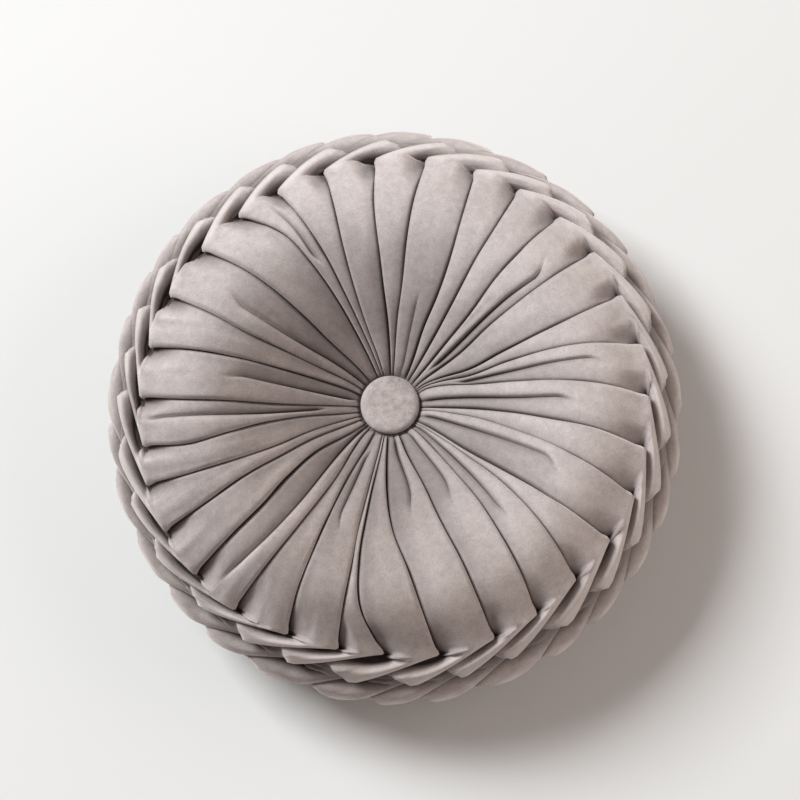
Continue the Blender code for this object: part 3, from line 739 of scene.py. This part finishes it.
def pleat_points(pleat, columns, stations):
    """Points of one pleat, from the middle of the top to that of the back, and their painted light."""
    across, distance = np.meshgrid(np.array(columns), np.array(stations))
    past, past_back = distance - RING, distance - RING - EDGE_LENGTH
    near = np.exp(-(past / KNOT_BLEND) ** 2) - np.exp(-(past_back / KNOT_BLEND) ** 2)
    outside = [CREASES[edge][0][-1] - KNOT_RING_RADIUS for edge in (pleat, pleat + 1)]
    slide = near * (outside[0] + (outside[1] - outside[0]) * across)
    radius, height, out, up = on_section(distance + slide)
    angle, width, blend, tuck = across_pleat(pleat, across, past, radius)
    stands, painted_light = stand_off(pleat, across, distance, radius, angle, width, blend, tuck)

    held = np.exp(-(past / RING_HOLD) ** 2) + np.exp(-(past_back / RING_HOLD) ** 2)
    out = np.where(stands < 0.0, out * (1.0 - held), out)
    reach = radius + out * stands
    z = np.maximum(height + up * stands, -REST_DEPTH) + REST_DEPTH
    aside, ahead = drift(np.where(past_back > 0.0, BEYOND_KNOTS, radius))
    turn = np.radians(angle + winding(pleat, across, np.clip(past / EDGE_LENGTH, 0.0, 1.0)))
    points = np.stack([reach * np.sin(turn) + aside, (reach * np.cos(turn) + ahead) * OVAL, z], axis=-1)
    return points, painted_light


sample = pleat_points(0, (0.0, 0.5), (RING / 2.0, RING))[0]
print("a point halfway out:", [round(float(part), 4) for part in sample[0, 1]])

# %% [markdown]
# The rings of points stand closer together near the knots, where the cloth bends most. Each pleat brings
# its own columns, and the pleats are set side by side until they close the circle. Two flat discs under
# the buttons shut the mesh at both ends, so it is closed like the real cover.

# %% Rings of points
ACROSS = (0.0, 0.015, 0.04, 0.08, 0.14, 0.22, 0.31, 0.40, 0.46,
          0.50, 0.54, 0.60, 0.69, 0.78, 0.86, 0.92, 0.96, 0.985)
FACE_RINGS, EDGE_RINGS, BACK_RINGS = 52, 84, 38
FIRST_RADIUS = 0.0120
RING_POWER = 0.85


def along_face(rings):
    """Distances along the section over a face, closer together towards the knots."""
    first = float(np.interp(FIRST_RADIUS, RADIUS, ALONG))
    return first + (RING - first) * (np.arange(rings) / rings) ** RING_POWER


def ring_faces(rings, count):
    """Four-sided faces between rings of points, and one face on each end."""
    here = np.arange(rings - 1)[:, None] * count
    a, b = here + np.arange(count)[None, :], here + (np.arange(count)[None, :] + 1) % count
    quads = np.stack([a, b, b + count, a + count], axis=-1).reshape(-1, 4)
    return quads.tolist() + [list(range(count))[::-1], list(range((rings - 1) * count, rings * count))]


print("grid:", FACE_RINGS + EDGE_RINGS + BACK_RINGS + 1, "rings of", len(PLEATS) * len(ACROSS), "points")

# %% [markdown]
# Blender takes a mesh as a list of points and a list of faces. Smooth shading hides the faces' edges, and
# the painted light of each point, its painted shade and highlight, is stored on the points as an
# attribute, under a name that the material asks for. The cover then stands in for the plain one in the
# imported model.

# %% Cover mesh
def make_cover():
    edge = RING + EDGE_LENGTH * np.arange(EDGE_RINGS) / EDGE_RINGS
    back = 2.0 * WIDEST - along_face(BACK_RINGS)[::-1]
    stations = np.concatenate([along_face(FACE_RINGS), edge, [RING + EDGE_LENGTH], back])
    parts = [pleat_points(pleat, ACROSS, stations) for pleat in range(len(PLEATS))]
    points = np.concatenate([part[0] for part in parts], axis=1).reshape(-1, 3)
    painted_light_levels = np.concatenate([part[1] for part in parts], axis=1).reshape(-1)
    middle = (points.max(axis=0) + points.min(axis=0)) / 2.0
    points[:, :2] -= middle[:2]

    mesh = bpy.data.meshes.new("velvet_cover")
    mesh.from_pydata(points.tolist(), [], ring_faces(len(stations), len(PLEATS) * len(ACROSS)))
    mesh.shade_smooth()
    # the painted shade and highlight of each point, for the material
    painted_light = mesh.attributes.new("painted_light", "FLOAT", "POINT")
    painted_light.data.foreach_set("value", painted_light_levels)
    cover = bpy.data.objects.new("velvet_cover", mesh)
    bpy.context.scene.collection.objects.link(cover)
    return cover


cover = make_cover()
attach(cover, "root")
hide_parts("cover")
print("cover:", len(cover.data.vertices), "points,", 2 * len(cover.data.polygons), "triangles")

# %% [markdown]
# ## The buttons
# A covered button is a shallow metal shell with a disc of the same velvet pulled round it. It is nearly
# flat on top, with a full round edge. Blender's Spin tool or a Screw modifier would turn such a profile.
# A few lines of code do it here, because they also press the cloth's slight unevenness into the top.

# %% Profile of a button
BUTTON_RADIUS, BUTTON_THICKNESS = 0.0205, 0.0085
BACK_INSETS = (0.0100, 0.0060)                     # rings on the flat back, this far in from the rim
EDGE_ROUND, EDGE_RISE, EDGE_MIDDLE = 0.0042, 0.0036, 0.0037
EDGE_START, EDGE_TURN, EDGE_STEPS = -60.0, 150.0, 16
TOP_STEPS = 14


def button_profile():
    """Radius and lift of the button from its flat back, round its edge, to its middle."""
    profile = [(BUTTON_RADIUS - inset, 0.0) for inset in BACK_INSETS]
    for step in range(EDGE_STEPS + 1):
        turn = math.radians(EDGE_START + EDGE_TURN * step / EDGE_STEPS)
        radius = BUTTON_RADIUS - EDGE_ROUND + EDGE_ROUND * math.cos(turn)
        profile.append((radius, EDGE_MIDDLE + EDGE_RISE * math.sin(turn)))
    shoulder_radius, shoulder_lift = profile[-1]
    for step in range(1, TOP_STEPS):
        share = step / TOP_STEPS
        lift = shoulder_lift + (BUTTON_THICKNESS - shoulder_lift) * (1.0 - (1.0 - share) ** 2)
        profile.append((shoulder_radius * (1.0 - share), lift))
    return profile


print("a button's profile has", len(button_profile()), "places")

# %% [markdown]
# The profile is turned about the button's axis. The button on the back is the same one upside down: its
# lifts are counted downwards, and its faces are listed the other way round, so that they still look
# outwards.

# %% Buttons
BUTTON_SIDES = 128
PRESS_DEPTH, PRESS_SIZE, PRESS_LIFTS = 0.00012, 0.005, (0.004, 0.007)
PRESS_PLACE = 20            # keeps the button away from the edge of the noise


def pressed_cloth(table, seat, side, seed):
    """The button's points with the slight unevenness of its cloth pressed into the top."""
    lifted = (table[:, 2] - seat) * side
    x, y = table[:, 0] / PRESS_SIZE + PRESS_PLACE, table[:, 1] / PRESS_SIZE + PRESS_PLACE
    table[:, 2] += side * PRESS_DEPTH * soft_noise(x, y, seed) * smooth(lifted, *PRESS_LIFTS)
    return table


def make_button(name, place, side, seed):
    """A covered button on its seat. side is 1 for the top one and -1 for the one on the back."""
    profile = button_profile()
    aside, ahead, seat = place
    points, faces = [], []
    for radius, lift in profile:
        for step in range(BUTTON_SIDES):
            turn = 2.0 * math.pi * step / BUTTON_SIDES
            x, y = aside + radius * math.cos(turn), ahead + radius * math.sin(turn)
            points.append((x, y, seat + side * lift))
    for ring in range(len(profile) - 1):
        for step in range(BUTTON_SIDES):
            a, b = ring * BUTTON_SIDES + step, ring * BUTTON_SIDES + (step + 1) % BUTTON_SIDES
            faces.append((a, b, b + BUTTON_SIDES, a + BUTTON_SIDES))
    last = (len(profile) - 1) * BUTTON_SIDES
    points.append((aside, ahead, seat + side * BUTTON_THICKNESS))
    for step in range(BUTTON_SIDES):
        faces.append((last + step, last + (step + 1) % BUTTON_SIDES, len(points) - 1))
    faces.append(tuple(range(BUTTON_SIDES))[::-1])
    table = pressed_cloth(np.array(points), seat, side, seed)
    mesh = bpy.data.meshes.new(name)
    mesh.from_pydata(table.tolist(), [], [face[::side] for face in faces])
    mesh.shade_smooth()
    button = bpy.data.objects.new(name, mesh)
    bpy.context.scene.collection.objects.link(button)
    return button


top_seat, back_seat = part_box("button_top")[0][2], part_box("button_back")[1][2]
top_button = make_button("velvet_button_top", (*BUTTON_CENTRE, top_seat), 1, 11)
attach(top_button, "root")
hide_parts("button_top")
back_button = make_button("velvet_button_back", (0.0, 0.0, back_seat), -1, 13)
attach(back_button, "root")
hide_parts("button_back")
print("buttons:", round(2000 * BUTTON_RADIUS, 1), "mm across")

# %% [markdown]
# ## Nap: a shader group for brushed velvet
# Velvet looks mottled because its pile leans this way and that. A photograph of cloth could be laid over
# it, but nodes stay sharp at any distance and need no image. The group mixes three sizes of noise: broad
# brushed patches, small marks and a fine grain. It gives out a mask that lightens and darkens the colour,
# and a height for the bump. Both materials use it with their own values.

# %% Node helpers
def noise_node(nodes, links, vector, settings):
    """A Noise Texture with a scale, a detail and a roughness."""
    node = nodes.new("ShaderNodeTexNoise")
    for socket, value in zip(("Scale", "Detail", "Roughness"), settings):
        node.inputs[socket].default_value = value
    links.new(vector, node.inputs["Vector"])
    return node.outputs["Fac"]


def math_node(nodes, links, kind, first, second):
    """A Math node. Each value is a number or the output of another node."""
    node = nodes.new("ShaderNodeMath")
    node.operation = kind
    for socket, value in zip(node.inputs, (first, second)):
        if isinstance(value, (int, float)):
            socket.default_value = value
        else:
            links.new(value, socket)
    return node.outputs[0]


print("noise and math nodes take their values from Python")

# %% [markdown]
# A node group is a small node tree with its own inputs and outputs. This one takes the strength of the
# patches and of the grain, so the button, whose cloth is stretched, can be more mottled than the cover.

# %% Nap group
BROAD_NOISE = (26.0, 3.0, 0.60)                    # scale, detail and roughness of each noise
SMALL_NOISE = (190.0, 3.0, 0.65)
GRAIN_NOISE = (1200.0, 2.0, 0.60)
SMALL_HEIGHT, GRAIN_HEIGHT = 0.35, 0.65


def make_nap_group():
    group = bpy.data.node_groups.new("brushed_nap", "ShaderNodeTree")
    for name in ("Patches", "Grain"):
        group.interface.new_socket(name, in_out="INPUT", socket_type="NodeSocketFloat").default_value = 0.5
    for name in ("Shade", "Height"):
        group.interface.new_socket(name, in_out="OUTPUT", socket_type="NodeSocketFloat")
    nodes, links = group.nodes, group.links
    taken = nodes.new("NodeGroupInput")
    given = nodes.new("NodeGroupOutput")
    where = nodes.new("ShaderNodeTexCoord").outputs["Object"]
    broad, small, grain = (noise_node(nodes, links, where, settings)
                           for settings in (BROAD_NOISE, SMALL_NOISE, GRAIN_NOISE))

    def mixed(first, first_part, second, second_part):
        parts = [math_node(nodes, links, "MULTIPLY", first, first_part),
                 math_node(nodes, links, "MULTIPLY", second, second_part)]
        return math_node(nodes, links, "ADD", *parts)

    marks = math_node(nodes, links, "SUBTRACT", mixed(broad, 0.5, small, 0.5), 0.5)
    specks = math_node(nodes, links, "SUBTRACT", grain, 0.5)
    shade = mixed(marks, taken.outputs["Patches"], specks, taken.outputs["Grain"])
    links.new(math_node(nodes, links, "ADD", shade, 0.5), given.inputs["Shade"])
    links.new(mixed(small, SMALL_HEIGHT, grain, GRAIN_HEIGHT), given.inputs["Height"])
    return group


nap_group = make_nap_group()
print("nap group:", len(nap_group.nodes), "nodes")

# %% [markdown]
# ## The way the pile lies
# Velvet is brightest where light falls on the sides of its hairs, and dark where it shines in between
# them. The pile leans one way all round the cushion, so one side is brighter than its shape explains.
# Real hairs would show this, but far too many are needed. Instead the shader's normal is turned to face
# the sides of the hairs, against the way they lean, and slopes are made a little steeper, because the
# pile hangs downhill.

# %% Leaning pile
PILE_FALL = 1.60                                   # a slope looks this much steeper
NAP_LEAN = 0.50                                    # tangent of the angle that the pile leans
NAP_TURN = math.radians(12.0)                      # it leans round the cushion, and this much outwards


def vector_node(nodes, links, kind, first, second=None):
    """A Vector Math node. The second value is a fixed vector, the output of another node, or left out."""
    node = nodes.new("ShaderNodeVectorMath")
    node.operation = kind
    links.new(first, node.inputs[0])
    if isinstance(second, tuple):
        node.inputs[1].default_value = second
    elif second is not None:
        links.new(second, node.inputs["Scale" if kind == "SCALE" else 1])
    return node.outputs[0]


def against_the_pile(nodes, links):
    """The way that the sides of the hairs face: round the cushion, along a circle, and a little inwards."""
    place = nodes.new("ShaderNodeTexCoord")
    apart = nodes.new("ShaderNodeSeparateXYZ")
    links.new(place.outputs["Object"], apart.inputs[0])
    circle = nodes.new("ShaderNodeCombineXYZ")
    links.new(math_node(nodes, links, "MULTIPLY", apart.outputs["Y"], -1.0), circle.inputs["X"])
    links.new(apart.outputs["X"], circle.inputs["Y"])
    turned = nodes.new("ShaderNodeVectorRotate")
    turned.rotation_type = "Z_AXIS"
    turned.inputs["Angle"].default_value = NAP_TURN
    links.new(circle.outputs[0], turned.inputs["Vector"])
    return vector_node(nodes, links, "NORMALIZE", turned.outputs[0])


def leaning_normal(nodes, links):
    """The cloth's normal, turned against the way its pile leans. On an upright wall it isn't turned."""
    shape = nodes.new("ShaderNodeNewGeometry")
    facing = nodes.new("ShaderNodeSeparateXYZ")
    links.new(shape.outputs["Normal"], facing.inputs[0])
    amount = math_node(nodes, links, "MULTIPLY", facing.outputs["Z"], NAP_LEAN)
    lean = vector_node(nodes, links, "SCALE", against_the_pile(nodes, links), amount)
    downhill = vector_node(nodes, links, "MULTIPLY", shape.outputs["Normal"], (PILE_FALL, PILE_FALL, 1.0))
    total = vector_node(nodes, links, "ADD", downhill, lean)
    return vector_node(nodes, links, "NORMALIZE", total)


print("the pile leans by", round(math.degrees(math.atan(NAP_LEAN))), "degrees")

# %% [markdown]
# ## Velvet
# Velvet is dull, except for a soft glow where its pile is seen from the side, which is sheen. Its colour
# here is a warm grey, mottled by the nap. In the creases and the hollows, and towards the button, painted
# shade sinks the colour to a deep brown, and on the crests of the folds of the edge a painted highlight
# makes it paler. Both follow the painted light that each point of the cover carries.

# %% Painted shade and highlight in the colour
# painted shade: the deep brown of the creases, the hollows and the dish
PAINTED_SHADE_COLOUR = (0.032, 0.020, 0.018, 1.0)
PAINTED_SHADE_LEVELS, PAINTED_SHADE_SHARE = (0.15, -0.55), 0.97
# painted highlight: a paler colour on the crests of the folds of the edge
PAINTED_HIGHLIGHT_COLOUR = (0.92, 0.84, 0.815, 1.0)
PAINTED_HIGHLIGHT_LEVELS, PAINTED_HIGHLIGHT_SHARE = (0.34, 0.48), 0.40


def mixed_by_painted_light(nodes, links, colour, painted_light, painted_light_levels, share, other):
    """The colour mixed with another: not at the first level of painted light, by the share at the second."""
    amount = nodes.new("ShaderNodeMapRange")
    amount.inputs["From Min"].default_value, amount.inputs["From Max"].default_value = painted_light_levels
    amount.inputs["To Max"].default_value = share
    links.new(painted_light, amount.inputs["Value"])
    mix = nodes.new("ShaderNodeMix")
    mix.data_type = "RGBA"
    mix.inputs["B"].default_value = other
    links.new(amount.outputs["Result"], mix.inputs["Factor"])
    links.new(colour, mix.inputs["A"])
    return mix.outputs["Result"]


def colour_with_painted_light(nodes, links, colour):
    """The colour with painted shade and a painted highlight, by the painted light of each point."""
    attribute = nodes.new("ShaderNodeAttribute")
    attribute.attribute_name = "painted_light"
    painted_light = attribute.outputs["Fac"]
    # painted shade, then a painted highlight, mixed into the colour
    colour = mixed_by_painted_light(nodes, links, colour, painted_light, PAINTED_SHADE_LEVELS, PAINTED_SHADE_SHARE, PAINTED_SHADE_COLOUR)
    return mixed_by_painted_light(nodes, links, colour, painted_light, PAINTED_HIGHLIGHT_LEVELS, PAINTED_HIGHLIGHT_SHARE, PAINTED_HIGHLIGHT_COLOUR)


print("the pile is paler from a rise of", PAINTED_HIGHLIGHT_LEVELS[0])

# %% [markdown]
# One function makes both velvets. The glow, the gloss and its spread are the same all over the cloth, so
# they are set on the shader itself. The nap feeds the colour, the roughness and the bump.

# %% Velvet materials
MOTTLE = (0.20, 0.85)       # the nap's mask at which the cloth is darkest, and palest
DULLNESS = (0.78, 0.95)     # roughness of the dark and of the pale patches
SPECULAR, SHEEN, SHEEN_SPREAD, SHEEN_TINT = 0.15, 0.50, 0.45, (1.0, 0.90, 0.86, 1.0)
BUMP_STRENGTH, BUMP_HEIGHT = 0.35, 0.0006


def make_velvet(name, dark, pale, patches, grain, shaped):
    """A velvet. A shaped one, on the cover, gets painted shade and highlight and leans its pile."""
    material = bpy.data.materials.new(name)
    material.use_nodes = True
    nodes, links = material.node_tree.nodes, material.node_tree.links
    shader = nodes["Principled BSDF"]
    shader.inputs["Metallic"].default_value = 0.0
    shader.inputs["Specular IOR Level"].default_value = SPECULAR
    shader.inputs["Sheen Weight"].default_value = SHEEN
    shader.inputs["Sheen Roughness"].default_value = SHEEN_SPREAD
    shader.inputs["Sheen Tint"].default_value = SHEEN_TINT
    nap = nodes.new("ShaderNodeGroup")
    nap.node_tree = nap_group
    nap.inputs["Patches"].default_value = patches
    nap.inputs["Grain"].default_value = grain
    mottled = nodes.new("ShaderNodeValToRGB")
    for stop, position, colour in zip(mottled.color_ramp.elements, MOTTLE, (dark, pale)):
        stop.position = position
        stop.color = (*colour, 1.0)
    links.new(nap.outputs["Shade"], mottled.inputs["Fac"])
    dull = nodes.new("ShaderNodeMapRange")
    dull.inputs["To Min"].default_value, dull.inputs["To Max"].default_value = DULLNESS
    links.new(nap.outputs["Shade"], dull.inputs["Value"])
    links.new(dull.outputs["Result"], shader.inputs["Roughness"])
    bump = nodes.new("ShaderNodeBump")
    bump.inputs["Strength"].default_value = BUMP_STRENGTH
    bump.inputs["Distance"].default_value = BUMP_HEIGHT
    links.new(nap.outputs["Height"], bump.inputs["Height"])
    links.new(bump.outputs["Normal"], shader.inputs["Normal"])
    colour = mottled.outputs["Color"]
    if shaped:
        colour = colour_with_painted_light(nodes, links, colour)
        links.new(leaning_normal(nodes, links), bump.inputs["Normal"])
    links.new(colour, shader.inputs["Base Color"])
    return material


COVER_DARK, COVER_PALE = (0.275, 0.232, 0.222), (0.74, 0.656, 0.634)
BUTTON_DARK, BUTTON_PALE = (0.26, 0.219, 0.210), (0.67, 0.594, 0.574)
cover.data.materials.append(make_velvet("pleated_velvet", COVER_DARK, COVER_PALE, 0.65, 0.45, True))
button_velvet = make_velvet("button_velvet", BUTTON_DARK, BUTTON_PALE, 1.5, 0.45, False)
top_button.data.materials.append(button_velvet)
back_button.data.materials.append(button_velvet)
print("materials:", [material.name for material in (cover.data.materials[0], button_velvet)])

# %% [markdown]
# ## Floor and light
# The cushion lies on pale paper. In a studio, one large window-like light from the upper left gives the
# shape and the soft shadow to the right, and a white card on the other side sends a little warm light
# back. Here both are square area lights, whose size makes the shadow's edge soft. A weak, even sky fills
# what they leave dark.

# %% Floor
FLOOR_SIZE = 12.0
PAPER_COLOUR, PAPER_ROUGHNESS = (0.785, 0.780, 0.775, 1.0), 0.9


def make_floor():
    half = FLOOR_SIZE / 2
    corners = [(-half, -half, 0.0), (half, -half, 0.0), (half, half, 0.0), (-half, half, 0.0)]
    mesh = bpy.data.meshes.new("paper_floor")
    mesh.from_pydata(corners, [], [(0, 1, 2, 3)])
    floor = bpy.data.objects.new("paper_floor", mesh)
    bpy.context.scene.collection.objects.link(floor)
    paper = bpy.data.materials.new("pale_paper")
    paper.use_nodes = True
    shader = paper.node_tree.nodes["Principled BSDF"]
    shader.inputs["Base Color"].default_value = PAPER_COLOUR
    shader.inputs["Roughness"].default_value = PAPER_ROUGHNESS
    mesh.materials.append(paper)
    return floor


floor = make_floor()
print("floor:", FLOOR_SIZE, "m across")

# %% [markdown]
# A light is placed by the direction it comes from, as a photographer would say it: how far round, and how
# high. The plain view transform keeps the paper as pale as it is in the photograph.

# %% Lights
# azimuth and height in degrees, distance and size in metres, power in watts, and colour
WINDOW = ((-54.0, 42.0), 4.6, 1.9, 258.0, (0.94, 0.985, 1.0))
BOUNCE = ((84.0, 27.0), 2.6, 2.0, 22.0, (1.0, 0.90, 0.83))
SKY_COLOUR, SKY_STRENGTH = (1.0, 0.87, 0.80, 1.0), 0.24


def area_light(name, direction, distance, size, power, colour):
    """A square light that shines on the cushion from a direction."""
    azimuth, height = (math.radians(angle) for angle in direction)
    data = bpy.data.lights.new(name, "AREA")
    data.shape = "SQUARE"
    data.size = size
    data.energy = power
    data.color = colour
    light = bpy.data.objects.new(name, data)
    away = (math.sin(azimuth) * math.cos(height), math.cos(azimuth) * math.cos(height), math.sin(height))
    light.location = tuple(part * distance for part in away)
    light.rotation_euler = (math.pi / 2 - height, 0.0, math.pi - azimuth)
    bpy.context.scene.collection.objects.link(light)


area_light("window", *WINDOW)
area_light("bounce", *BOUNCE)
sky = bpy.data.worlds.new("studio")
sky.use_nodes = True
sky.node_tree.nodes["Background"].inputs["Color"].default_value = SKY_COLOUR
sky.node_tree.nodes["Background"].inputs["Strength"].default_value = SKY_STRENGTH
bpy.context.scene.world = sky
bpy.context.scene.view_settings.view_transform = "Standard"
print("lights:", [light.name for light in bpy.data.lights])
